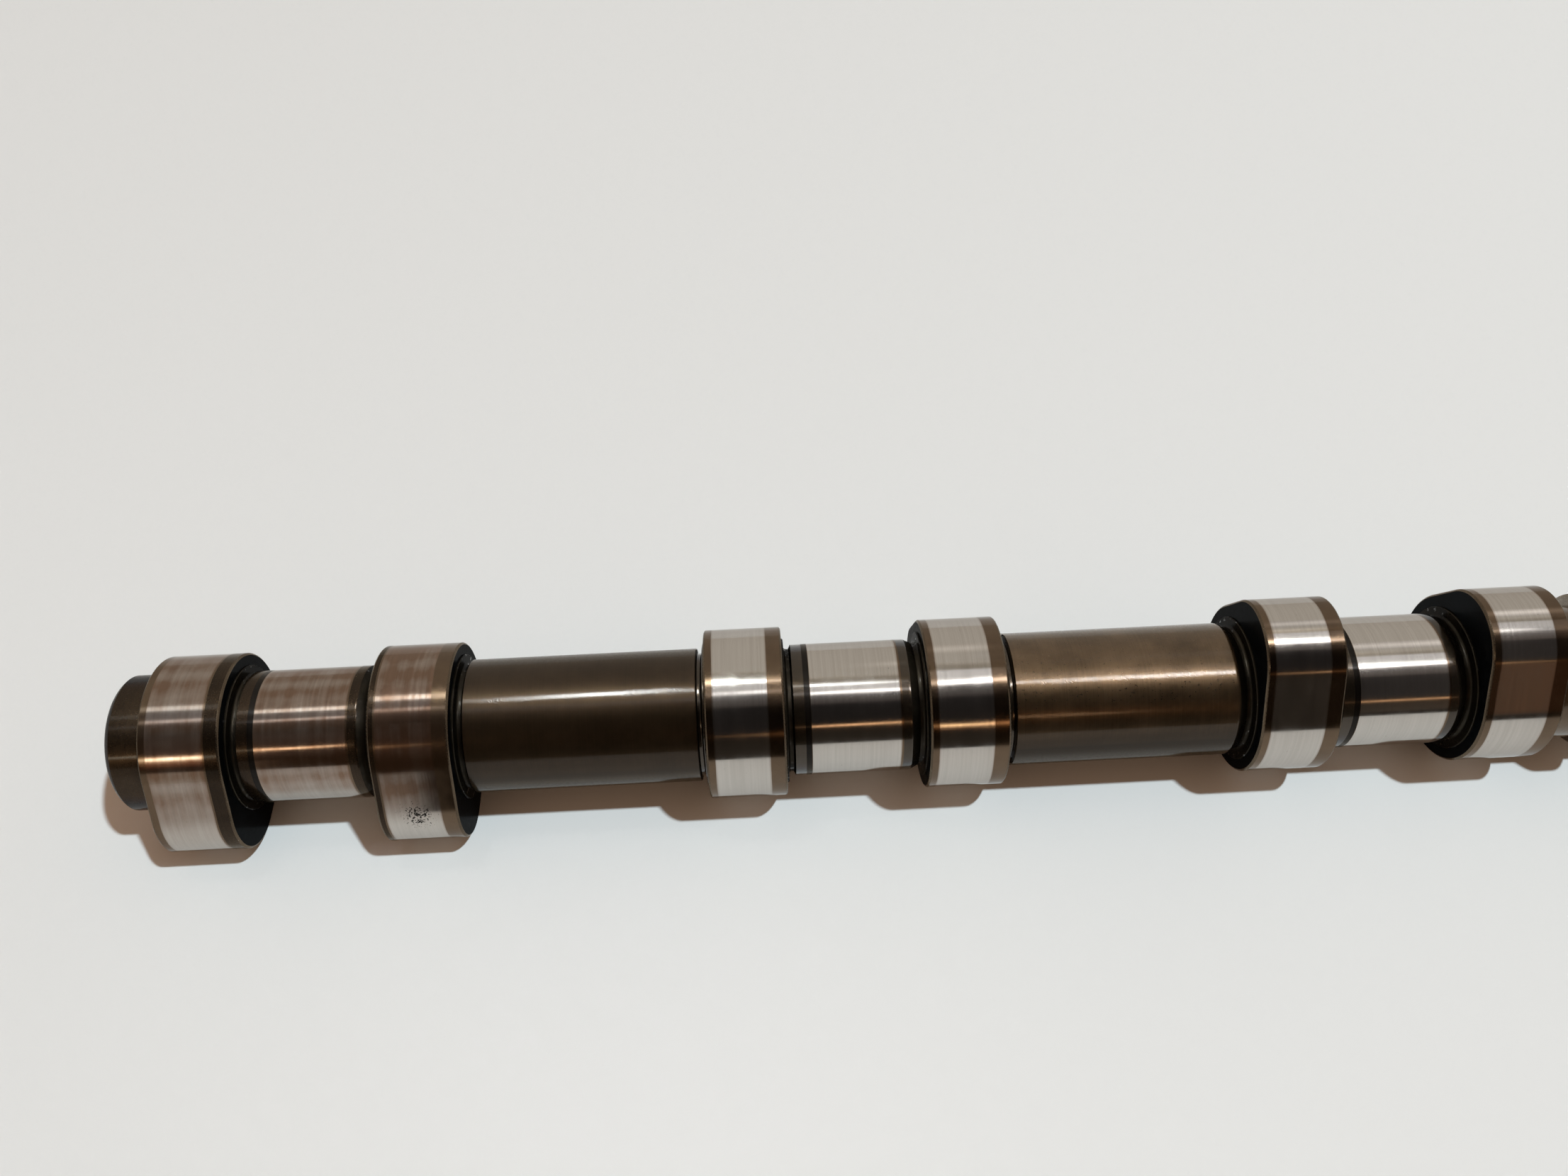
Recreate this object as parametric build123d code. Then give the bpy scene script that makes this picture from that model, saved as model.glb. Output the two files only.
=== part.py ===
"""Camshaft for one bank of three cylinders, two valves a cylinder on this shaft: one solid, in millimetres.

The shaft lies along X. Its origin is on the axis, at the face of the drive flange that the sprocket seats on,
and +X points out of the drive end. It is rolled as it lies on a flat surface: the cam noses of the front
cylinder point up, and every lobe rests on its base circle.
"""

import os
from math import acos, cos, radians, sin

from build123d import *

# Cylinder groups: one bearing journal with a cam lobe on each side of it.
cylinder_count = 3
cylinder_pitch = 105.5
lobe_offset = 21.25  # from the middle of a journal to the middle of a lobe
front_nose_angle = 90.0  # from +Y towards +Z, about the shaft's axis
firing_step = 120.0  # from one cylinder's cam noses to the next cylinder's

# Bearing journals and the barrels between the cylinder groups.
journal_d = 26.0
barrel_d = 26.3
front_barrel_length = 12.0
edge_break = 0.5

# Cam lobes.
base_circle_d = 33.4
cam_lift = 5.0
nose_r = 11.25
lobe_width = 15.2
lobe_chamfer = 0.4

# Turned necks between a cylinder and the hub of a lobe. A cylinder falls to its neck by a short steep cone
# at its rear end and by a long shallow one at its drive end.
neck_d = 24.3
neck_length = 1.0
rear_cone_length = 0.4
drive_cone_length = 1.7
rear_barrel_cone_length = 0.2  # the rear barrel runs close up to the middle cylinder's rear lobe
neck_corner = 0.6
hub_d = 28.6
hub_step = 0.4

# Plain rear end.
stub_d = 26.6
stub_length = 8.0
stub_chamfer = 1.2

# Drive end: bearing journal between a thrust collar and the drive flange, then the sprocket's pilot.
thrust_d = 31.0
thrust_width = 4.0
front_journal_width = 18.0
flange_width = 5.0
relief_width = 1.5
relief_depth = 0.5
pilot_d = 18.0
pilot_length = 6.0
pilot_chamfer = 1.0

# Holes in the ends.
bolt_hole_d = 8.5
bolt_hole_depth = 28.0
bolt_countersink_d = 11.0
dowel_hole_d = 4.0
dowel_hole_depth = 4.0  # blind: it stops inside the flange, short of the journal
dowel_circle_r = 12.2
dowel_angle = 90.0
centre_hole_d = 5.0
centre_hole_depth = 5.0
centre_cone_d = 9.0

# Places along the shaft, worked back from the sprocket's seat at X = 0.
journal_r = journal_d / 2
barrel_r = barrel_d / 2
neck_r = neck_d / 2
hub_r = hub_d / 2
group_half = lobe_offset + lobe_width / 2
front_journal_end = -flange_width
front_journal_start = front_journal_end - front_journal_width
collar_start = front_journal_start - thrust_width
front_group_x = collar_start - front_barrel_length - group_half
group_x = [front_group_x - cylinder_pitch * n for n in reversed(range(cylinder_count))]
rear_x = group_x[0] - group_half - stub_length
neck_reach = hub_step + neck_length  # from a lobe's side face to the far end of its neck


def hub_outline(middle, rear_r=neck_r):
    """Half outline of the hub that a lobe stands on, with a low step proud of each side face."""
    rear_end = middle - lobe_width / 2 - hub_step
    drive_end = middle + lobe_width / 2 + hub_step
    return [
        (rear_end - neck_corner, rear_r),
        (rear_end, rear_r + neck_corner),
        (rear_end, hub_r),
        (drive_end, hub_r),
        (drive_end, neck_r + neck_corner),
        (drive_end + neck_corner, neck_r),
    ]


def cylinder_outline(rear_face, drive_face, radius, drive_cone=drive_cone_length):
    """Half outline of a journal or barrel between two lobe faces, with a cone down to the neck at each end."""
    start = rear_face + neck_reach
    end = drive_face - neck_reach
    return [
        (start, neck_r),
        (start + rear_cone_length, radius),
        (end - drive_cone, radius),
        (end, neck_r),
    ]


def relief_outline(x, toward):
    """Half outline of the grinding relief that a thrust journal has at one of its two shoulders."""
    floor_r = journal_r - relief_depth
    return [(x, floor_r), (x + toward * relief_width, floor_r), (x + toward * relief_width, journal_r)]


def shaft_outline():
    """Half outline of everything turned, from the rear end face to the pilot's end face."""
    stub_r = stub_d / 2
    thrust_r = thrust_d / 2
    pilot_r = pilot_d / 2
    points = [(rear_x, 0), (rear_x, stub_r - stub_chamfer), (rear_x + stub_chamfer, stub_r)]
    for n, x in enumerate(group_x):
        points += hub_outline(x - lobe_offset, stub_r if n == 0 else neck_r)
        points += cylinder_outline(x - group_half + lobe_width, x + group_half - lobe_width, journal_r)
        points += hub_outline(x + lobe_offset)
        if n < cylinder_count - 1:
            drive_cone = rear_barrel_cone_length if n == 0 else drive_cone_length
            points += cylinder_outline(x + group_half, group_x[n + 1] - group_half, barrel_r, drive_cone)
    barrel_start = front_group_x + group_half + neck_reach
    points += [(barrel_start, neck_r), (barrel_start + rear_cone_length, barrel_r), (collar_start, barrel_r)]
    points += [(collar_start, thrust_r - edge_break), (collar_start + edge_break, thrust_r)]
    points += [(front_journal_start, thrust_r)]
    points += relief_outline(front_journal_start, 1)
    points += reversed(relief_outline(front_journal_end, -1))
    points += [(front_journal_end, thrust_r), (-edge_break, thrust_r), (0, thrust_r - edge_break)]
    points += [(0, pilot_r), (pilot_length - pilot_chamfer, pilot_r)]
    points += [(pilot_length, pilot_r - pilot_chamfer), (pilot_length, 0)]
    return points


def cam_profile():
    """Cam outline about the shaft's axis, its nose along local X: base circle, flat flanks and nose arc."""
    base_r = base_circle_d / 2
    nose_x = base_r + cam_lift - nose_r
    flank = acos((base_r - nose_r) / nose_x)
    base_up = Vector(base_r * cos(flank), base_r * sin(flank))
    nose_up = Vector(nose_x + nose_r * cos(flank), nose_r * sin(flank))
    base_down = Vector(base_up.X, -base_up.Y)
    nose_down = Vector(nose_up.X, -nose_up.Y)
    nose_arc = ThreePointArc(nose_up, (nose_x + nose_r, 0), nose_down)
    base_arc = ThreePointArc(base_down, (-base_r, 0), base_up)
    return make_face([nose_arc, Line(nose_down, base_down), base_arc, Line(base_up, nose_up)])


def cam_lobe(middle, nose_angle):
    """One lobe with its nose at the given angle, its two rims chamfered."""
    toward_nose = (0, cos(radians(nose_angle)), sin(radians(nose_angle)))
    start = Plane(origin=(middle - lobe_width / 2, 0, 0), x_dir=toward_nose, z_dir=(1, 0, 0))
    blank = extrude(start * cam_profile(), lobe_width)
    side_faces = blank.faces().filter_by(Axis.X)
    return chamfer([edge for face in side_faces for edge in face.edges()], lobe_chamfer)


def countersunk_hole(x, inward, hole_d, depth, cone_d):
    """Cutter for a hole on the axis with a 90 degree countersink, from an end face at x."""
    cone_depth = (cone_d - hole_d) / 2
    outline = Polyline(
        (x, 0),
        (x, cone_d / 2),
        (x + inward * cone_depth, hole_d / 2),
        (x + inward * depth, hole_d / 2),
        (x + inward * (depth + hole_d / 4), 0),
        close=True,
    )
    return revolve(make_face(outline), Axis.X)


def dowel_hole():
    """Cutter for the blind hole that times the sprocket, in the drive flange."""
    y = dowel_circle_r * cos(radians(dowel_angle))
    z = dowel_circle_r * sin(radians(dowel_angle))
    bottom = Plane(origin=(-dowel_hole_depth, y, z), z_dir=(1, 0, 0))
    return extrude(bottom * Circle(dowel_hole_d / 2), dowel_hole_depth + 1)


def camshaft():
    """The whole shaft: turned body, cams fused on in firing order, end holes cut."""
    body = revolve(make_face(Polyline(*shaft_outline(), close=True)), Axis.X)
    for n, x in enumerate(reversed(group_x)):
        nose_angle = front_nose_angle - firing_step * n
        for middle in (x - lobe_offset, x + lobe_offset):
            body += cam_lobe(middle, nose_angle)
    body -= countersunk_hole(pilot_length, -1, bolt_hole_d, bolt_hole_depth, bolt_countersink_d)
    body -= countersunk_hole(rear_x, 1, centre_hole_d, centre_hole_depth, centre_cone_d)
    return body - dowel_hole()


os.makedirs("parts", exist_ok=True)
export_step(camshaft(), "parts/camshaft.step")
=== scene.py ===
from math import acos, atan2, cos, hypot, pi, radians, sin, sqrt

import bmesh
import bpy
from mathutils import Matrix, Vector


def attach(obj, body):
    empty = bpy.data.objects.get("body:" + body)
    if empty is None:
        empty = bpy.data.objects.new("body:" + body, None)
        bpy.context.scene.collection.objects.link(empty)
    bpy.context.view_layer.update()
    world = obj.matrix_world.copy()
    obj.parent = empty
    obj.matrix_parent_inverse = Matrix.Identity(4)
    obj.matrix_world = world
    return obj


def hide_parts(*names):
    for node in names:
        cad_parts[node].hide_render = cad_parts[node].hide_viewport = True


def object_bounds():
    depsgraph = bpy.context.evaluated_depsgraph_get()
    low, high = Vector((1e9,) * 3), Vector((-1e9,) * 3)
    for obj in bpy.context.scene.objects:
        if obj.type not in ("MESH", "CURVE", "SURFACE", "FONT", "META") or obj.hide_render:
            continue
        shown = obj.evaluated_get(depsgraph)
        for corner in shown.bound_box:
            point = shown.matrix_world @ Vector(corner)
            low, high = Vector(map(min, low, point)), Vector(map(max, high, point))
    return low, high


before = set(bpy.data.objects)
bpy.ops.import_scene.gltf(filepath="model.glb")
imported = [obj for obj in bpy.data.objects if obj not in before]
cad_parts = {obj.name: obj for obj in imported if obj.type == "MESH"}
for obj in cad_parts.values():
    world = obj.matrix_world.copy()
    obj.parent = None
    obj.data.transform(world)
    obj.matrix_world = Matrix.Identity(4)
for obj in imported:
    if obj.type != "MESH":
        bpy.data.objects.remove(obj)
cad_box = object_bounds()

# Turned body: an iron casting turned between centres along X and kept as one piece from end to end.
# Its surface is a row of closed rings, each with its place along the shaft in millimetres, its outline about
# the axis, the finish of the band that leads up to it, and the shares to which it is polished and stained; on
# the barrels the stain share also paints shade on the underside.
mm = 0.001
ring_points = 192
group_x = [-278.85, -173.35, -67.85]
group_half = 28.85
lobe_width = 15.2
journal_r = 13.0
barrel_r = 13.15
neck_r = 12.15
neck_length = 1.0
rear_cone_length = 0.4
drive_cone_length = 1.7
hub_r = 14.3
hub_step = 0.4
corner_r = 0.6
corner_steps = 4
oil_band_depth = 0.16
oil_bands_round = 18
oil_band_groups = 5
rings = []


def circle(radius):
    """Outline of a round section: the same radius at every angle."""
    return lambda angle: radius


def ring(x, outline, finish, polish=0.0, stain_and_shade=0.0):
    """Adds one ring. Its outline and stain_and_shade are numbers, or change with the angle."""
    shape = outline if callable(outline) else circle(outline)
    film = stain_and_shade if callable(stain_and_shade) else circle(stain_and_shade)
    rings.append({"x": x, "shape": shape, "finish": finish, "polish": polish, "stain_and_shade": film})


def stain_and_shade_away_from(least_angle, least_width, worst, least):
    """A stain value that is least within least_width degrees of least_angle and lies in uneven bands
    elsewhere. On the barrels it is old oil and painted shade, darker away from the top."""

    def film(angle):
        off = abs((angle - radians(least_angle) + pi) % (2 * pi) - pi)
        grown = min(1.0, max(0.0, off / radians(least_width) - 1.0))
        bands = oil_band_depth * sin(oil_bands_round * angle) * sin(oil_band_groups * angle + 1.0)
        return least + (worst - least + bands) * grown

    return film


def neck_fillet(x, toward, outer_first, finish="neck"):
    """The small concave round between a neck's floor and the hub step that stands at x."""
    turns = [n / corner_steps * pi / 2 for n in range(corner_steps + 1)]
    for turn in (reversed(turns) if outer_first else turns):
        along = corner_r * (1 - sin(turn))
        ring(x + toward * along, neck_r + corner_r * (1 - cos(turn)), finish)


# Bearing journals: ground round, polished where the split bearing runs and stained beside it by hot oil.
# A dark line marks the rear edge of each running track.
track_half = 8.6
dark_line_width = 1.2
edge_ramp = 0.35
cone_seam = 0.05
dark_line_seam = 0.1
journal_edge_support = 0.3
journal_edge_length = 0.15
journal_edge_drop = 0.04
cone_foot_length = 0.2
cone_foot_rise = 0.12
journal_stain = [stain_and_shade_away_from(least_angle=-100, least_width=50, worst=0.85, least=0.0), 0.06, 0.04]


def journal(group):
    """Ground cylinder between the two lobes of a group, with its cones down to the necks."""
    x = group_x[group]
    stain_and_shade = journal_stain[group]
    start = x - group_half + lobe_width + hub_step + neck_length
    end = x + group_half - lobe_width - hub_step - neck_length
    shoulder = end - drive_cone_length
    track = (x - track_half, x + track_half)
    beside = "stained" if group == 0 else "varnish"
    ring(start, neck_r, "neck")
    ring(start + rear_cone_length, journal_r, "neck")
    ring(start + rear_cone_length + cone_seam, journal_r, beside)
    ring(track[0] - dark_line_width, journal_r, beside)
    ring(track[0] - dark_line_width + dark_line_seam, journal_r, "dark_line")
    ring(track[0] - dark_line_seam, journal_r, "dark_line")
    ring(track[0], journal_r, "ground", 0.6, stain_and_shade)
    ring(track[0] + edge_ramp, journal_r, "ground", 1.0, stain_and_shade)
    ring(track[1] - edge_ramp, journal_r, "ground", 1.0, stain_and_shade)
    ring(track[1] + edge_ramp, journal_r, "ground", 0.0, 1.0)
    ring(shoulder - journal_edge_support, journal_r, beside)
    ring(shoulder, journal_r, beside)
    ring(shoulder + journal_edge_length, journal_r - journal_edge_drop, beside)
    ring(end - cone_foot_length, neck_r + cone_foot_rise, "cone")
    ring(end, neck_r, "neck")


# Barrels: the plain turned lengths between two cylinders' lobes, left as machined and brown with old oil,
# which covers the rear one all round. Their stain is also painted shade: they are darker away from the top,
# on the underside. The grooves where they meet the middle cylinder's lobes are brown too.
barrel_edge = 0.12
barrel_edge_support = 0.4
barrel_cone_length = [0.2, 1.7]
barrel_cone_end = 0.1
barrel_foot_rise = 0.1
# Barrel stains by angle: old oil, and on the first two also painted shade that darkens the underside.
barrel_oil_and_shade = [
    stain_and_shade_away_from(least_angle=70, least_width=75, worst=1.0, least=0.84),
    stain_and_shade_away_from(least_angle=60, least_width=65, worst=1.25, least=0.20),
    0.3,
]
drive_groove = {(1, 1): "varnish"}
rear_groove = {(1, -1): "varnish"}


def barrel(group):
    """Turned cylinder from the drive lobe of a group to the rear lobe of the next."""
    start = group_x[group] + group_half + hub_step + neck_length
    end = group_x[group + 1] - group_half - hub_step - neck_length
    cone = barrel_cone_length[group]
    full_start = start + rear_cone_length + barrel_edge
    full_end = end - cone - barrel_edge
    groove = drive_groove.get((group, 1), "neck")
    ring(start, neck_r, groove)
    ring(start + rear_cone_length, barrel_r - barrel_edge, groove)
    # The barrel's rings carry its stain: old oil and painted shade on the underside.
    for x in (full_start, full_start + barrel_edge_support, full_end - barrel_edge_support, full_end):
        ring(x, barrel_r, "barrel", 0.0, barrel_oil_and_shade[group])
    ring(end - cone * (1 - barrel_cone_end), barrel_r - barrel_edge, "barrel", 0.0, barrel_oil_and_shade[group])
    ring(end - cone * barrel_cone_end, neck_r + barrel_foot_rise, "cone")
    ring(end, neck_r, rear_groove.get((group + 1, -1), "neck"))


# Cam lobes: two to a cylinder, ground to a base circle, flat flanks and a nose arc.
# The follower's running track is bright and stands a little to the rear; brown bands are left beside it.
base_r = 16.7
cam_lift = 5.0
nose_r = 11.25
lobe_offset = 21.25
rim_chamfer = 0.4
rim_round = [(0.08, 0.62), (0.22, 0.25)]
hub_break = 0.15
rear_band = 1.6
drive_band = 3.1
nose_angles = [-150, -30, 90]
lobe_stain = {
    (0, -1): stain_and_shade_away_from(least_angle=-128, least_width=34, worst=0.80, least=0.10),
    (0, 1): stain_and_shade_away_from(least_angle=-152, least_width=21, worst=0.95, least=0.06),
    (1, -1): 0.04,
    (1, 1): 0.06,
    (2, -1): 0.06,
    (2, 1): 0.08,
}


def cam(nose_angle, inset=0.0):
    """Outline of a lobe as a radius for each angle, its nose at nose_angle degrees from +Y towards +Z."""
    nose_x = base_r + cam_lift - nose_r
    flank = acos((base_r - nose_r) / nose_x)
    nose_end = atan2(nose_r * sin(flank), nose_x + nose_r * cos(flank))

    def radius(angle):
        off_nose = abs((angle - radians(nose_angle) + pi) % (2 * pi) - pi)
        if off_nose < nose_end:
            across = nose_x * sin(off_nose)
            return nose_x * cos(off_nose) + sqrt(nose_r ** 2 - across ** 2) - inset
        if off_nose < flank:
            return base_r / cos(flank - off_nose) - inset
        return base_r - inset

    return radius


def lobe(group, side):
    """One lobe with its hub step, its side faces and its broken rims, from the rear to the drive side."""
    middle = group_x[group] + side * lobe_offset
    rear_face = middle - lobe_width / 2
    drive_face = middle + lobe_width / 2
    angle = nose_angles[group]
    full = cam(angle)
    place = (group, side)
    stain_and_shade = lobe_stain[place]
    rear_finish = "stained" if place == (0, 1) else "ground"
    drive_finish = "stained" if place == (0, -1) else "ground"
    rear_hub = rear_groove.get(place, "hub")
    drive_hub = drive_groove.get(place, "hub")
    if place != (0, -1):
        neck_fillet(rear_face - hub_step, -1, False, rear_groove.get(place, "neck"))
    ring(rear_face - hub_step, hub_r - hub_break, rear_hub)
    ring(rear_face - hub_step + hub_break, hub_r, rear_hub)
    ring(rear_face, hub_r, rear_hub)
    ring(rear_face, cam(angle, rim_chamfer), "side")
    for inwards, left in rim_round:
        ring(rear_face + inwards, cam(angle, rim_chamfer * left), "rim")
    ring(rear_face + rim_chamfer, full, "rim", 0.0, 1.0)
    ring(rear_face + rear_band - edge_ramp, full, rear_finish, 0.0, 1.0)
    ring(rear_face + rear_band + edge_ramp, full, "ground", 1.0, stain_and_shade)
    ring(middle, full, "ground", 1.0, stain_and_shade)
    ring(drive_face - drive_band - edge_ramp, full, "ground", 1.0, stain_and_shade)
    ring(drive_face - drive_band + edge_ramp, full, "ground", 0.0, 1.0)
    ring(drive_face - rim_chamfer, full, drive_finish, 0.0, 1.0)
    for inwards, left in reversed(rim_round):
        ring(drive_face - inwards, cam(angle, rim_chamfer * left), "rim")
    ring(drive_face, cam(angle, rim_chamfer), "rim")
    ring(drive_face, hub_r, "side")
    ring(drive_face + hub_step - hub_break, hub_r, drive_hub)
    ring(drive_face + hub_step, hub_r - hub_break, drive_hub)
    neck_fillet(drive_face + hub_step, 1, True, drive_groove.get(place, "neck"))


# Rear end: a plain stub past the last lobe, turned and left brown, with the lathe's centre hole in its face.
stub_r = 13.3
stub_length = 8.0
stub_chamfer = 1.2
stub_rim_steps = 4
stub_rim_bulge = 0.066
stub_edge_support = 0.4
stub_corner_break = 0.3
centre_hole_r = 2.5
centre_hole_depth = 5.0
centre_cone_r = 4.5
centre_cone_edge = 0.1
rear_x = group_x[0] - group_half - stub_length


def rear_end():
    """Bottom of the centre hole, its cone, the end face, the rounded rim and the stub up to the first hub."""
    cone_depth = centre_cone_r - centre_hole_r
    ring(rear_x + centre_hole_depth + centre_hole_r / 2, 0.0, "hole")
    ring(rear_x + centre_hole_depth, centre_hole_r, "hole")
    ring(rear_x + cone_depth, centre_hole_r, "hole")
    ring(rear_x + centre_cone_edge, centre_cone_r - centre_cone_edge, "hole")
    ring(rear_x, centre_cone_r, "hole")
    ring(rear_x, stub_r - stub_chamfer, "stub_face")
    for step in range(1, stub_rim_steps + 1):
        cut = stub_chamfer * step / stub_rim_steps
        bulge = stub_rim_bulge * sin(step / stub_rim_steps * pi)
        ring(rear_x + cut - bulge, stub_r - stub_chamfer + cut + bulge, "stub")
    ring(rear_x + stub_chamfer + stub_edge_support, stub_r, "stub")
    shoulder = group_x[0] - group_half - hub_step
    ring(shoulder - corner_r - stub_edge_support, stub_r, "stub")
    ring(shoulder - corner_r, stub_r, "stub")
    ring(shoulder - corner_r * stub_corner_break, stub_r + corner_r * stub_corner_break, "hub")
    ring(shoulder, stub_r + corner_r, "hub")


# Drive end: a bearing journal between a thrust collar and the drive flange, then the sprocket's pilot with
# the sprocket bolt's tapped hole in it. All of it is ground or turned bright on the same piece.
front_barrel_end = -27.0
thrust_r = 15.5
edge_break = 0.5
inner_break = 0.3
front_journal_start = -23.0
flange_width = 5.0
front_journal_end = -flange_width
relief_width = 1.5
relief_depth = 0.5
pilot_r = 9.0
pilot_length = 6.0
pilot_chamfer = 1.0
track_edge = 0.1
track_inset = 1.2
bolt_hole_r = 4.25
bolt_cone_r = 5.5
bolt_hole_depth = 28.0
thread_pitch = 1.5
thread_depth = 0.75
thread_turns = 10
thread_steps = 4
thread_runout = 0.5


def drive_end():
    """Everything from the last neck to the bottom of the bolt hole, the thread cut as fine rings."""
    start = group_x[2] + group_half + hub_step + neck_length
    ring(start, neck_r, "neck")
    ring(start + rear_cone_length, barrel_r - barrel_edge, "neck")
    ring(start + rear_cone_length + barrel_edge, barrel_r, "barrel", 0.0, barrel_oil_and_shade[2])
    ring(front_barrel_end, barrel_r, "barrel", 0.0, barrel_oil_and_shade[2])
    ring(front_barrel_end, thrust_r - edge_break, "machined")
    ring(front_barrel_end + edge_break, thrust_r, "machined")
    ring(front_journal_start - inner_break, thrust_r, "machined")
    ring(front_journal_start, thrust_r - inner_break, "machined")
    ring(front_journal_start, journal_r - relief_depth, "machined")
    ground_start = front_journal_start + relief_width
    ground_end = front_journal_end - relief_width
    ring(ground_start - inner_break, journal_r - relief_depth, "neck")
    ring(ground_start, journal_r, "machined")
    ring(ground_start + track_edge, journal_r, "ground", 0.0, 1.0)
    ring(ground_start + track_inset, journal_r, "ground", 1.0, 0.05)
    ring(ground_end - track_inset, journal_r, "ground", 1.0, 0.05)
    ring(ground_end - track_edge, journal_r, "ground", 0.0, 1.0)
    ring(ground_end, journal_r, "ground", 0.0, 1.0)
    ring(ground_end + inner_break, journal_r - relief_depth, "machined")
    ring(front_journal_end, journal_r - relief_depth, "neck")
    ring(front_journal_end, thrust_r - inner_break, "machined")
    ring(front_journal_end + inner_break, thrust_r, "machined")
    ring(-edge_break, thrust_r, "machined")
    ring(0.0, thrust_r - edge_break, "machined")
    ring(0.0, pilot_r, "machined")
    ring(pilot_length - pilot_chamfer, pilot_r, "machined")
    ring(pilot_length, pilot_r - pilot_chamfer, "machined")
    ring(pilot_length, bolt_cone_r, "machined")
    bolt_hole()


def bolt_hole():
    """Tapped hole running inwards from the pilot's end face: countersink, thread and drill point."""
    mouth = pilot_length - (bolt_cone_r - bolt_hole_r)
    ring(mouth, bolt_hole_r, "hole")
    for n in range(thread_turns * thread_steps + 1):
        x = mouth - n * thread_pitch / thread_steps

        def thread(angle, x=x):
            phase = (x / thread_pitch - angle / (2 * pi)) % 1.0
            started = min(1.0, (mouth - x) / thread_pitch)
            return bolt_hole_r + thread_depth * (1 - abs(2 * phase - 1)) * started

        ring(x, thread, "hole")
    bottom = pilot_length - bolt_hole_depth
    ring(mouth - thread_turns * thread_pitch - thread_runout, bolt_hole_r, "hole")
    ring(bottom, bolt_hole_r, "hole")
    ring(bottom - bolt_hole_r / 2, 0.0, "hole")


# The shaft's skin: the rings are joined in order into one closed mesh, the dowel hole is cut in the flange,
# and each band of faces gets its finish. The skin takes the place of the plain solid.
finishes = [
    "ground", "varnish", "stained", "dark_line", "rim", "side", "hub", "neck", "cone", "barrel", "stub",
    "stub_face", "machined", "hole",
]
sharp_edge_angle = radians(24)
dowel_circle_r = 12.2
dowel_hole_r = 2.0
dowel_hole_depth = 4.0
dowel_drill_sides = 48
dowel_margin = 0.01

rear_end()
for group in range(len(group_x)):
    lobe(group, -1)
    journal(group)
    lobe(group, 1)
    if group < len(group_x) - 1:
        barrel(group)
drive_end()


def skin_mesh():
    """One mesh through all the rings, with polish and stain kept as values on its points."""
    mesh = bmesh.new()
    rows = []
    polish = []
    stain_and_shade = []
    for each in rings:
        turns = [2 * pi * n / ring_points for n in range(ring_points)]
        if each["shape"](0.0) == 0.0:
            turns = [0.0]
        row = []
        for angle in turns:
            radius = each["shape"](angle) * mm
            row.append(mesh.verts.new((each["x"] * mm, radius * cos(angle), radius * sin(angle))))
            polish.append(each["polish"])
            stain_and_shade.append(each["stain_and_shade"](angle))
        rows.append(row if len(row) > 1 else row * ring_points)
    for near, far, each in zip(rows, rows[1:], rings[1:]):
        for n in range(ring_points):
            after = (n + 1) % ring_points
            corners = list(dict.fromkeys([near[n], near[after], far[after], far[n]]))
            face = mesh.faces.new(corners)
            face.material_index = finishes.index(each["finish"])
            face.smooth = True
    bmesh.ops.recalc_face_normals(mesh, faces=mesh.faces)
    data = bpy.data.meshes.new("camshaft_skin")
    mesh.to_mesh(data)
    mesh.free()
    for name, values in (("polish", polish), ("stain_and_shade", stain_and_shade)):
        data.attributes.new(name, "FLOAT", "POINT").data.foreach_set("value", values)
    return data


def drill_dowel_hole(body):
    """Cuts the blind dowel hole into the flange's outer face and gives its faces the finish of a hole."""
    place = Matrix.Translation((0, 0, dowel_circle_r * mm)) @ Matrix.Rotation(pi / 2, 4, "Y")
    plug = bmesh.new()
    bmesh.ops.create_cone(plug, cap_ends=True, segments=dowel_drill_sides, radius1=dowel_hole_r * mm,
                          radius2=dowel_hole_r * mm, depth=2 * dowel_hole_depth * mm, matrix=place)
    plug_mesh = bpy.data.meshes.new("dowel_drill")
    plug.to_mesh(plug_mesh)
    plug.free()
    drill = bpy.data.objects.new("dowel_drill", plug_mesh)
    bpy.context.scene.collection.objects.link(drill)
    cut = body.modifiers.new("dowel_hole", "BOOLEAN")
    cut.object = drill
    cut.solver = "EXACT"
    bpy.context.view_layer.update()
    body.data = bpy.data.meshes.new_from_object(body.evaluated_get(bpy.context.evaluated_depsgraph_get()))
    body.modifiers.clear()
    bpy.data.objects.remove(drill)
    for face in body.data.polygons:
        x, y, z = face.center / mm
        beside_axis = hypot(y, z - dowel_circle_r)
        if -flange_width < x < -dowel_margin and beside_axis < dowel_hole_r + dowel_margin:
            face.material_index = finishes.index("hole")


skin = bpy.data.objects.new("camshaft_skin", skin_mesh())
bpy.context.scene.collection.objects.link(skin)
drill_dowel_hole(skin)
skin.data.set_sharp_from_angle(angle=sharp_edge_angle)


def metal(name):
    """A new metal finish on the skin: the material, its node tree and its shader."""
    material = bpy.data.materials.new(name)
    material.use_nodes = True
    tree = material.node_tree
    return material, tree, tree.nodes["Principled BSDF"]


def add(tree, kind, inputs=None, **settings):
    """Adds one shader node, sets what it is told and links or fills its inputs."""
    node = tree.nodes.new(kind)
    for key, value in settings.items():
        setattr(node, key, value)
    for key, value in (inputs or {}).items():
        if isinstance(value, bpy.types.NodeSocket):
            tree.links.new(value, node.inputs[key])
        else:
            node.inputs[key].default_value = value
    return node


def math(tree, operation, *values):
    """Result of one math node."""
    return add(tree, "ShaderNodeMath", dict(enumerate(values)), operation=operation).outputs[0]


def mix_colour(tree, factor, low, high):
    """Result of mixing two colours."""
    node = add(tree, "ShaderNodeMix", {0: factor, 6: low, 7: high}, data_type="RGBA")
    return node.outputs[2]


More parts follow.
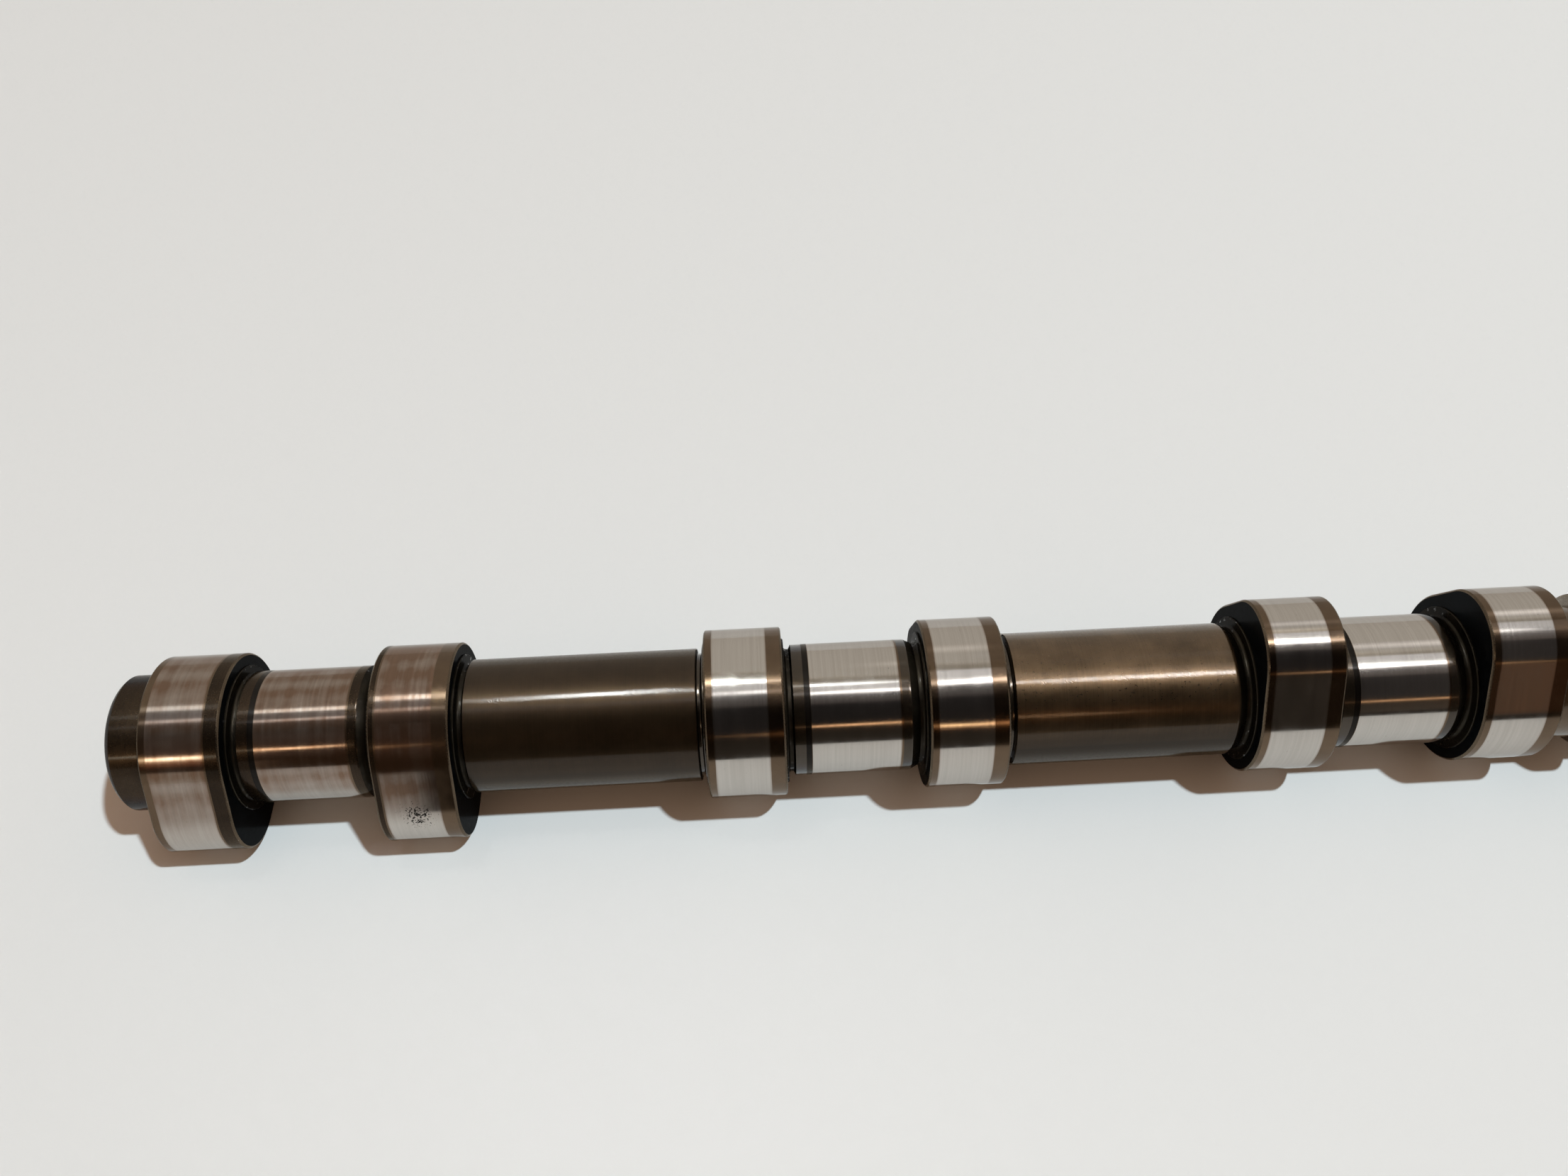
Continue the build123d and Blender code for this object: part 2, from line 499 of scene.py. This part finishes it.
def ramp(tree, value, stops):
    """Result of a grey ramp through (place, level) stops."""
    node = add(tree, "ShaderNodeValToRGB", {0: value})
    elements = node.color_ramp.elements
    while len(elements) < len(stops):
        elements.new(0.5)
    for element, (place, level) in zip(elements, stops):
        element.position = place
        element.color = (level, level, level, 1.0)
    return node.outputs[0]


def shaft_noise(tree, along, around, detail=3.0, roughness=0.6, offset=0.0):
    """Noise on the shaft's own coordinates, with so many waves a millimetre along it and around it."""
    place = add(tree, "ShaderNodeTexCoord").outputs["Object"]
    scale = (along / mm, around / mm, around / mm)
    mapped = add(tree, "ShaderNodeMapping", {"Vector": place, "Scale": scale, "Location": (offset,) * 3})
    node = add(tree, "ShaderNodeTexNoise", {"Vector": mapped.outputs[0], "Scale": 1.0, "Detail": detail,
                                            "Roughness": roughness})
    return node.outputs["Fac"]


def bump(tree, shader, height, distance, layer="Normal"):
    """Bump of the given depth in millimetres on one of the shader's normals."""
    node = add(tree, "ShaderNodeBump", {"Height": height, "Distance": distance * mm, "Strength": 1.0})
    tree.links.new(node.outputs[0], shader.inputs[layer])


def oil_ripples(tree):
    """Height of the short slanting wrinkles in a wet oil film, faint in some places and crowded in others."""
    place = add(tree, "ShaderNodeTexCoord").outputs["Object"]
    axes = add(tree, "ShaderNodeSeparateXYZ", {0: place})
    along = math(tree, "DIVIDE", axes.outputs["X"], mm)
    around = math(tree, "MULTIPLY", math(tree, "ARCTAN2", axes.outputs["Z"], axes.outputs["Y"]), barrel_r)
    slant = add(tree, "ShaderNodeCombineXYZ", {
        "X": math(tree, "MULTIPLY", math(tree, "ADD", along, around), 1.2),
        "Y": math(tree, "MULTIPLY", math(tree, "SUBTRACT", along, around), 3.4)})
    wrinkles = add(tree, "ShaderNodeTexNoise", {"Vector": slant.outputs[0], "Scale": 1.0, "Detail": 0.5,
                                                "Roughness": 0.5}).outputs["Fac"]
    places = shaft_noise(tree, 0.07, 0.11, detail=3.0, roughness=0.6, offset=23.0)
    crowded = ramp(tree, places, [(0.40, 0.24), (0.66, 1.3)])
    return math(tree, "MULTIPLY", math(tree, "SUBTRACT", wrinkles, 0.5), crowded)


def pits(tree, centre, spread, amount):
    """Mask of small corroded pits around a point of the surface. Centre and spread are in millimetres; the
    lower the amount, the more pits."""
    place = add(tree, "ShaderNodeTexCoord").outputs["Object"]
    away = add(tree, "ShaderNodeVectorMath", {0: place, 1: [v * mm for v in centre]}, operation="SUBTRACT")
    scaled = add(tree, "ShaderNodeVectorMath", {0: away.outputs[0], 1: [1 / (v * mm) for v in spread]},
                 operation="MULTIPLY")
    distance = add(tree, "ShaderNodeVectorMath", {0: scaled.outputs[0]}, operation="LENGTH").outputs["Value"]
    near = ramp(tree, distance, [(0.0, 1.0), (1.0, 0.0)])
    spots = shaft_noise(tree, 2.8, 2.8, detail=2.0, roughness=0.6, offset=17.0)
    return ramp(tree, math(tree, "MULTIPLY_ADD", near, 0.30, spots), [(amount, 0.0), (amount + 0.03, 1.0)])


def ground_finish():
    """Ground surfaces: bright where they are polished, brown varnish over the same grinding lines beside."""
    material, tree, shader = metal("ground_iron")
    shader.inputs["Metallic"].default_value = 1.0
    shader.inputs["Coat Weight"].default_value = 0.45
    shader.inputs["Coat Roughness"].default_value = 0.09
    shader.inputs["Specular Tint"].default_value = (0.60, 0.56, 0.53, 1.0)
    bright = (0.58, 0.55, 0.51, 1.0)
    scratched = (0.36, 0.325, 0.29, 1.0)
    tea = (0.212, 0.130, 0.086, 1.0)
    varnish_light = (0.150, 0.100, 0.060, 1.0)
    varnish_dark = (0.112, 0.073, 0.044, 1.0)
    pit_black = (0.012, 0.010, 0.008, 1.0)
    lines = shaft_noise(tree, 2.4, 0.03, detail=4.0, roughness=0.7)
    blotches = shaft_noise(tree, 0.16, 0.16, detail=4.0, roughness=0.65, offset=3.0)
    smears = shaft_noise(tree, 0.35, 0.09, detail=5.0, roughness=0.6, offset=11.0)
    polish = add(tree, "ShaderNodeAttribute", attribute_name="polish").outputs["Fac"]
    stain_and_shade = add(tree, "ShaderNodeAttribute", attribute_name="stain_and_shade").outputs["Fac"]
    wander = math(tree, "MULTIPLY_ADD", smears, 0.5, -0.25)
    track = ramp(tree, math(tree, "ADD", polish, wander), [(0.42, 0.0), (0.58, 1.0)])
    scuffs = shaft_noise(tree, 0.6, 0.03, detail=3.0, roughness=0.6, offset=13.0)
    streaks = ramp(tree, scuffs, [(0.35, 0.86), (0.65, 1.14)])
    patches = math(tree, "MULTIPLY", streaks, ramp(tree, blotches, [(0.25, 0.8), (0.75, 1.2)]))
    film = math(tree, "MULTIPLY", stain_and_shade, patches)
    polished = mix_colour(tree, film, bright, tea)
    worn = math(tree, "MULTIPLY", ramp(tree, lines, [(0.35, 0.0), (0.65, 1.0)]), 0.3)
    streaked = mix_colour(tree, worn, polished, mix_colour(tree, film, scratched, varnish_dark))
    brown = ramp(tree, blotches, [(0.3, 0.0), (0.7, 1.0)])
    varnish = mix_colour(tree, brown, varnish_dark, varnish_light)
    surface = mix_colour(tree, track, varnish, streaked)
    nose_pits = pits(tree, centre=(-257.4, -19.2, -0.5), spread=(5.4, 3.4, 5.2), amount=0.748)
    tree.links.new(mix_colour(tree, nose_pits, surface, pit_black), shader.inputs["Base Color"])
    smooth = ramp(tree, smears, [(0.3, 0.09), (0.7, 0.15)])
    rough = ramp(tree, blotches, [(0.3, 0.13), (0.7, 0.20)])
    level = add(tree, "ShaderNodeMix", {0: track, 2: rough, 3: smooth})
    tree.links.new(level.outputs[0], shader.inputs["Roughness"])
    bump(tree, shader, lines, 0.0022)
    bump(tree, shader, oil_ripples(tree), 0.002, "Coat Normal")
    return material


def oily_finish(name, dark, light, roughness, grain, coat, lines=3.0, film=None, wrinkled=0.004, wet=None,
                edge=0.5, coarse=0.0014):
    """Turned iron under old oil: two browns in blotches, a fine grain and turning lines with coarse
    millimetres of relief, and a wet film on top whose wrinkles are wrinkled millimetres deep. film is a third
    colour, mixed in by the stain_and_shade value, which on the barrels is old oil and painted shade on the
    underside; wet adds beads of oil that shine that much more; edge is how bright it gets where it is seen at
    a glancing angle."""
    material, tree, shader = metal(name)
    shader.inputs["Metallic"].default_value = 0.92
    shader.inputs["Coat Weight"].default_value = coat
    shader.inputs["Coat Roughness"].default_value = 0.09
    shader.inputs["Coat IOR"].default_value = 1.42
    shader.inputs["Specular Tint"].default_value = (edge * 1.1, edge, edge * 0.88, 1.0)
    blotches = shaft_noise(tree, 0.12, 0.12, detail=5.0, roughness=0.65, offset=7.0)
    specks = shaft_noise(tree, grain, grain, detail=2.0, roughness=0.6, offset=5.0)
    turning = shaft_noise(tree, lines, 0.02, detail=3.0, roughness=0.6, offset=2.0)
    shade = math(tree, "MULTIPLY_ADD", turning, 0.25, math(tree, "MULTIPLY", blotches, 0.75))
    colour = mix_colour(tree, ramp(tree, shade, [(0.36, 0.0), (0.64, 1.0)]), dark, light)
    # On the barrels the stain_and_shade value is old oil and painted shade, darker on the underside.
    if film:
        stain_and_shade = add(tree, "ShaderNodeAttribute", attribute_name="stain_and_shade").outputs["Fac"]
        colour = mix_colour(tree, stain_and_shade, colour, film)
    tree.links.new(colour, shader.inputs["Base Color"])
    low, high = roughness
    rough = ramp(tree, specks, [(0.3, low), (0.7, high)])
    if film:
        rough = math(tree, "MULTIPLY_ADD", stain_and_shade, 0.07, rough)
        tree.links.new(math(tree, "MULTIPLY_ADD", stain_and_shade, -0.45, coat), shader.inputs["Coat Weight"])
    tree.links.new(rough, shader.inputs["Roughness"])
    height = math(tree, "ADD", specks, math(tree, "MULTIPLY", turning, 0.6))
    bump(tree, shader, height, coarse)
    bump(tree, shader, oil_ripples(tree), wrinkled, "Coat Normal")
    if wet:
        drops = shaft_noise(tree, 0.9, 0.9, detail=2.0, roughness=0.6, offset=31.0)
        beads = ramp(tree, drops, [(0.62, coat), (0.70, wet)])
        tree.links.new(beads, shader.inputs["Coat Weight"])
    return material


neck_finish = oily_finish(
    "neck_oil", (0.014, 0.012, 0.009, 1), (0.038, 0.031, 0.022, 1), (0.34, 0.5), grain=1.2, coat=0.10,
    wrinkled=0.02, wet=1.0, edge=0.16)
stub_finish = oily_finish(
    "stub_iron", (0.028, 0.018, 0.010, 1), (0.054, 0.035, 0.020, 1), (0.24, 0.34), grain=1.3, coat=0.36,
    lines=5.0, edge=0.25)
by_band = {
    "ground": ground_finish(),
    "varnish": oily_finish(
        "varnish_iron", (0.034, 0.024, 0.015, 1), (0.056, 0.041, 0.026, 1), (0.18, 0.26), grain=1.6, coat=1.0,
        edge=0.25),
    "stained": oily_finish(
        "stained_iron", (0.020, 0.013, 0.007, 1), (0.046, 0.029, 0.017, 1), (0.20, 0.30), grain=1.6,
        coat=0.30),
    "dark_line": oily_finish(
        "dark_line_iron", (0.006, 0.005, 0.004, 1), (0.014, 0.011, 0.009, 1), (0.3, 0.45), grain=1.6, coat=0.3),
    "rim": oily_finish(
        "lobe_rim", (0.070, 0.050, 0.032, 1), (0.13, 0.095, 0.062, 1), (0.22, 0.34), grain=2.0, coat=0.3),
    "side": oily_finish(
        "lobe_side", (0.007, 0.008, 0.009, 1), (0.014, 0.017, 0.020, 1), (0.36, 0.52), grain=1.1, coat=0.06,
        edge=0.18),
    "hub": neck_finish,
    "neck": neck_finish,
    "cone": neck_finish,
    # The barrels' dark film colour follows their stain: old oil, and painted shade on the underside.
    "barrel": oily_finish(
        "barrel_iron", (0.095, 0.060, 0.031, 1), (0.180, 0.116, 0.063, 1), (0.25, 0.35), grain=1.6, coat=1.0,
        film=(0.021, 0.013, 0.007, 1), wrinkled=0.013, coarse=0.0024),
    "stub": stub_finish,
    "stub_face": stub_finish,
    "machined": oily_finish(
        "machined_iron", (0.20, 0.17, 0.14, 1), (0.36, 0.32, 0.28, 1), (0.22, 0.34), grain=2.0, coat=0.1,
        lines=6.0),
    "hole": neck_finish,
}
for band in finishes:
    skin.data.materials.append(by_band[band])

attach(skin, "root")
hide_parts("camshaft")

# Table: the pale board that the shaft lies on, level with the lowest points of the lobes. It isn't part of
# the object.
table_half = 3.0
table_z = cad_box[0][2]
table_mesh = bpy.data.meshes.new("table")
table_corners = [(x * table_half, y * table_half, table_z) for x, y in ((-1, -1), (1, -1), (1, 1), (-1, 1))]
table_mesh.from_pydata(table_corners, [], [(0, 1, 2, 3)])
table = bpy.data.objects.new("table", table_mesh)
bpy.context.scene.collection.objects.link(table)
table_white = bpy.data.materials.new("table_white")
table_white.use_nodes = True
table_shader = table_white.node_tree.nodes["Principled BSDF"]
table_shader.inputs["Base Color"].default_value = (0.80, 0.80, 0.79, 1.0)
table_shader.inputs["Roughness"].default_value = 0.45
table_shader.inputs["Specular IOR Level"].default_value = 0.3
table_mesh.materials.append(table_white)

# Room: warm and dim, so that it lights the table only a little. The metal sees it brighter, and the camera
# sees a plain pale backdrop past the table.
world = bpy.data.worlds.new("studio")
bpy.context.scene.world = world
world.use_nodes = True
world_tree = world.node_tree
fill = world_tree.nodes["Background"]
fill.inputs["Color"].default_value = (1.0, 0.64, 0.42, 1.0)
fill.inputs["Strength"].default_value = 0.33
room = add(world_tree, "ShaderNodeBackground", {"Color": (1.0, 0.93, 0.83, 1.0), "Strength": 0.57})
backdrop = add(world_tree, "ShaderNodeBackground", {"Color": (0.76, 0.76, 0.755, 1.0), "Strength": 1.0})
path = add(world_tree, "ShaderNodeLightPath")
seen_in_metal = add(world_tree, "ShaderNodeMixShader",
                    {0: path.outputs["Is Glossy Ray"], 1: fill.outputs[0], 2: room.outputs[0]})
seen_behind = add(world_tree, "ShaderNodeMixShader",
                  {0: path.outputs["Is Camera Ray"], 1: seen_in_metal.outputs[0], 2: backdrop.outputs[0]})
world_tree.links.new(seen_behind.outputs[0], world_tree.nodes["World Output"].inputs["Surface"])

# Lamp: small and far off, high on the right, for the sharp shadow. The metal reflects the screens instead.
shaft_middle = Vector((-0.187, 0.0, 0.0))
key_toward = Vector((0.45, -0.13, 1.0)).normalized()
key_distance = 6.0
key = bpy.data.lights.new("key_lamp", "AREA")
key.shape = "DISK"
key.size = 0.235
key.energy = 299.0
key.color = (0.785, 0.93, 1.0)
key_holder = bpy.data.objects.new("key_lamp", key)
key_holder.location = shaft_middle + key_toward * key_distance
key_holder.rotation_euler = key_toward.to_track_quat("Z", "Y").to_euler()
key_holder.visible_glossy = False
bpy.context.scene.collection.objects.link(key_holder)

# Screens: curved, glowing surfaces round the shaft, seen only by reflection. Each has a name for what it
# stands for in the room; radii are in metres and angles in degrees up from the horizon on the near side.
wall_r = 0.78
foot_r = 0.18
strip_r = 0.75
tube_r = 2.4


def screen(name, radius, stops, columns):
    """One screen, which casts no shadow. A stop is an angle and a tone; a column is a place in X, its share
    of the tone and what it adds to the angles."""
    points = []
    tones = []
    for up, tone in stops:
        for x, share, rise in columns:
            turn = radians(up + rise)
            points.append((x, -radius * cos(turn), radius * sin(turn)))
            tones += [level * share for level in tone] + [1.0]
    wide = len(columns)
    faces = []
    for row in range(len(stops) - 1):
        for n in range(wide - 1):
            corner = row * wide + n
            faces.append((corner, corner + 1, corner + wide + 1, corner + wide))
    mesh = bpy.data.meshes.new(name)
    mesh.from_pydata(points, [], faces)
    mesh.color_attributes.new("tone", "FLOAT_COLOR", "POINT").data.foreach_set("color", tones)
    material = bpy.data.materials.new(name)
    material.use_nodes = True
    tree = material.node_tree
    tree.nodes.remove(tree.nodes["Principled BSDF"])
    tone = add(tree, "ShaderNodeAttribute", attribute_name="tone").outputs["Color"]
    glow = add(tree, "ShaderNodeEmission", {"Color": tone, "Strength": 1.0})
    tree.links.new(glow.outputs[0], tree.nodes["Material Output"].inputs["Surface"])
    mesh.materials.append(material)
    holder = bpy.data.objects.new(name, mesh)
    bpy.context.scene.collection.objects.link(holder)
    holder.visible_camera = False
    holder.visible_diffuse = False
    holder.visible_shadow = False


# Walls: dark and nearly black on the right, lighter and warmer on the left, with their foot down by the table
# and their coving up where the ceiling begins.
tone_foot = (0.034, 0.027, 0.021)
tone_black = (0.018, 0.016, 0.015)
tone_coving = (0.06, 0.052, 0.047)
tone_copper = (0.125, 0.070, 0.042)
tone_left = (0.13, 0.12, 0.11)
tone_left_low = (0.07, 0.05, 0.035)
screen("wall_right", wall_r, [
    (-1.25, tone_foot), (18, (0.024, 0.019, 0.014)), (30, tone_black), (62, tone_black), (65, tone_coving),
], [
    (-0.42, 1.3, 0), (-0.28, 0.9, 0), (0.12, 1.0, 0), (0.19, 0.85, 0), (0.25, 0.85, 0), (0.275, 2.2, 0),
    (1.3, 2.4, 0),
])
screen("wall_foot", foot_r, [
    (-5.9, (0.030, 0.024, 0.019)), (-0.9, tone_foot), (1.6, tone_foot),
], [
    (-0.30, 1.0, 0), (0.6, 1.0, 0),
])
screen("coving_right", tube_r, [
    (64, tone_coving), (73, (0.11, 0.10, 0.095)), (79.5, (0.20, 0.19, 0.19)),
], [
    (-1.0, 1.2, 0), (0.4, 1.0, 0), (0.8, 1.6, 0), (3.0, 2.0, 0),
])
screen("copper_wall", strip_r, [
    (1, (0.08, 0.045, 0.03)), (4, tone_copper), (17, tone_copper),
], [
    (0.345, 0.3, 0), (0.36, 1.0, 0), (1.3, 1.0, 0),
])
screen("wall_left", wall_r, [
    (15, tone_left_low), (30, (0.11, 0.08, 0.062)), (60, (0.11, 0.09, 0.078)), (65, tone_left),
], [
    (-1.5, 1.0, 0), (-0.42, 1.0, 0),
])
screen("coving_left", tube_r, [
    (64, tone_left), (79.5, (0.25, 0.24, 0.23)),
], [
    (-4.0, 1.0, 0), (-1.0, 1.0, 0),
])
screen("wall_left_low", wall_r, [
    (-1.25, (0.065, 0.044, 0.030)), (15, tone_left_low),
], [
    (-0.60, 1.0, 0), (-0.42, 1.0, 0),
])

# Copper lights: warm lamps and thin strips along the near wall, which make the bright lines on the near side
# of the shaft. A strip's stops lie about its own line, whose height each column gives.
copper_dim = (0.05, 0.03, 0.02)
copper_low = (0.05, 0.03, 0.015)
warm_line = [
    (-2.0, copper_low), (-1.0, (0.75, 0.50, 0.30)), (0, (0.80, 0.68, 0.50)), (1.0, (0.75, 0.50, 0.30)),
    (2.0, copper_dim),
]
copper_line = [
    (-2.0, copper_low), (-1.0, (0.72, 0.40, 0.20)), (0, (0.76, 0.45, 0.25)), (1.0, (0.72, 0.40, 0.20)),
    (2.0, copper_dim),
]
screen("copper_lamp", strip_r, [
    (21, copper_dim), (27, (0.40, 0.19, 0.10)), (30.4, (0.9, 0.48, 0.26)), (32.0, (4.5, 3.8, 2.8)),
    (33.4, (8.0, 7.6, 6.2)), (34.8, (7.0, 6.3, 4.9)), (36.0, (1.6, 0.85, 0.42)), (37.6, (0.12, 0.06, 0.03)),
], [
    (-1.5, 0.1, 0), (-0.78, 0.2, 0), (-0.71, 0.7, 0), (-0.66, 1.0, 0), (-0.605, 1.0, 0),
])
screen("copper_strip", strip_r, warm_line, [
    (-0.605, 3.0, 35), (-0.58, 7.0, 35), (-0.55, 7.0, 34), (-0.53, 5.4, 34.5), (-0.515, 2.2, 35.5),
    (-0.49, 0.7, 35), (-0.46, 0.5, 36), (-0.43, 0.2, 36),
])
screen("copper_strip_middle", strip_r, copper_line, [
    (-0.24, 0.1, 26), (-0.20, 0.16, 26), (-0.175, 0.3, 26), (-0.155, 2.2, 26), (-0.12, 2.6, 26),
    (-0.10, 3.2, 26), (-0.088, 0.5, 26.5), (-0.072, 0.4, 26.5),
])
screen("copper_lamp_middle", strip_r, [
    (19, copper_dim), (22.5, (0.50, 0.24, 0.12)), (24.2, (2.2, 1.3, 0.65)), (25.4, (7.0, 4.8, 2.6)),
    (26.4, (3.0, 1.8, 0.9)), (28.0, (0.12, 0.06, 0.03)),
], [
    (-0.072, 0.5, 0.4), (-0.052, 0.85, 0), (-0.042, 0.36, -0.3), (-0.03, 0.30, -0.6), (-0.010, 0.28, -0.8),
])
screen("copper_strip_right", strip_r, copper_line, [
    (-0.010, 6.0, 26), (0.033, 10.0, 24.8), (0.05, 7.5, 24.2), (0.067, 4.0, 23.6), (0.083, 1.7, 23.5),
    (0.10, 0.3, 23), (0.16, 0.2, 22), (0.22, 0.4, 20.5), (0.27, 1.15, 20.3), (0.33, 1.3, 20.3),
    (0.36, 0.8, 20), (0.40, 0.34, 19.5), (0.44, 0.2, 19), (1.3, 0.15, 19),
])

# Ceiling: a soft glow with two bright tubes in front of it, and softer light beyond them. The tubes are far
# brighter at some places along their length than at others.
soft = (1.0, 0.98, 0.98)
tube_edge = (0.5, 0.53, 0.53)
tube_core = (0.95, 1.0, 1.0)
tube = [(-3.4, tube_edge), (-2.0, tube_core), (2.0, tube_core), (3.4, tube_edge)]
narrow_edge = (0.5, 0.5, 0.5)
narrow_core = (1.0, 0.99, 1.0)
narrow_tube = [(-2.2, narrow_edge), (-1.2, narrow_core), (1.2, narrow_core), (2.2, narrow_edge)]
screen("overhead_glow", tube_r + 0.05, [
    (79, soft), (104, soft),
], [
    (-1.9, 0.25, 0), (-1.2, 0.32, 0), (-0.75, 0.4, 0), (-0.3, 0.7, 0), (0.0, 0.85, 0), (1.3, 0.85, 0),
    (1.7, 0.4, 0),
])
screen("far_tube", tube_r, tube, [
    (-1.9, 1.0, 101), (-1.45, 1.9, 101), (-1.15, 2.9, 100), (-0.9, 3.6, 100), (-0.79, 5.0, 100),
    (-0.70, 10.0, 100), (-0.63, 40.0, 100.5), (-0.55, 66.0, 100.5), (-0.48, 66.0, 100.5), (-0.41, 36.0, 100),
    (-0.34, 9.0, 98.5), (-0.25, 8.0, 96.5), (0.0, 8.0, 94.5), (0.15, 7.0, 92), (0.3, 8.0, 89.5),
    (0.5, 7.0, 87), (0.62, 7.0, 86), (0.78, 12.0, 86), (0.88, 3.0, 86), (1.15, 2.0, 87), (1.26, 1.0, 86),
    (1.4, 0.3, 86),
])
screen("near_tube", tube_r - 0.05, narrow_tube, [
    (-1.9, 0.8, 82.5), (-1.4, 1.6, 83), (-1.1, 1.8, 83), (-0.9, 1.8, 83.5), (-0.6, 1.0, 83.5),
    (-0.3, 1.6, 83), (0.0, 3.5, 83.5), (0.19, 6.0, 82.5), (0.32, 15.0, 84), (0.42, 22.0, 84),
    (0.54, 29.0, 83.5), (0.64, 38.0, 83), (0.78, 33.0, 83), (0.83, 8.0, 82), (0.92, 8.0, 80.2),
    (1.15, 7.0, 82), (1.25, 5.0, 83), (1.32, 0.6, 83.5), (1.5, 0.2, 84),
])
screen("ceiling_gap", tube_r + 0.02, [
    (102, (0.30, 0.26, 0.21)), (108, (0.34, 0.30, 0.24)), (113, (0.55, 0.50, 0.44)),
], [
    (-0.5, 1.0, 0), (0.0, 1.0, -1), (0.3, 1.0, -4), (0.7, 1.4, -5), (0.9, 2.1, -6), (1.05, 1.1, -6),
    (1.8, 0.9, -6),
])
screen("middle_glow", tube_r, [
    (126, (0.58, 0.53, 0.47)), (133, (0.85, 0.80, 0.73)), (140, (0.58, 0.53, 0.47)),
], [
    (0.05, 1.0, 0), (0.28, 1.0, 0),
])
screen("back_glow", tube_r, [
    (112, (0.45, 0.42, 0.39)), (120, (1.05, 1.0, 0.95)), (127, (0.55, 0.51, 0.47)),
], [
    (0.3, 0.55, 0), (0.6, 0.75, 0), (1.0, 0.95, 0), (1.35, 1.25, 0), (1.8, 1.2, 0),
])

# Camera: held over the near side and looking down on the shaft, with the drive end out of view on the right.
camera_data = bpy.data.cameras.new("camera")
camera_data.sensor_width = 36.0
camera_data.lens = 29.44
camera = bpy.data.objects.new("camera", camera_data)
camera_place = Vector((-190.45, -140.12, 216.36)) * mm
looks_down = radians(51.63)
turned_right = radians(1.686)
rolled = radians(-1.471)
heading = Matrix.Rotation(-turned_right, 4, "Z")
pitch = Matrix.Rotation(pi / 2 - looks_down, 4, "X")
roll = Matrix.Rotation(rolled, 4, "Z")
camera.matrix_world = Matrix.Translation(camera_place) @ heading @ pitch @ roll
bpy.context.scene.collection.objects.link(camera)
bpy.context.scene.camera = camera
bpy.context.scene.view_settings.view_transform = "Standard"
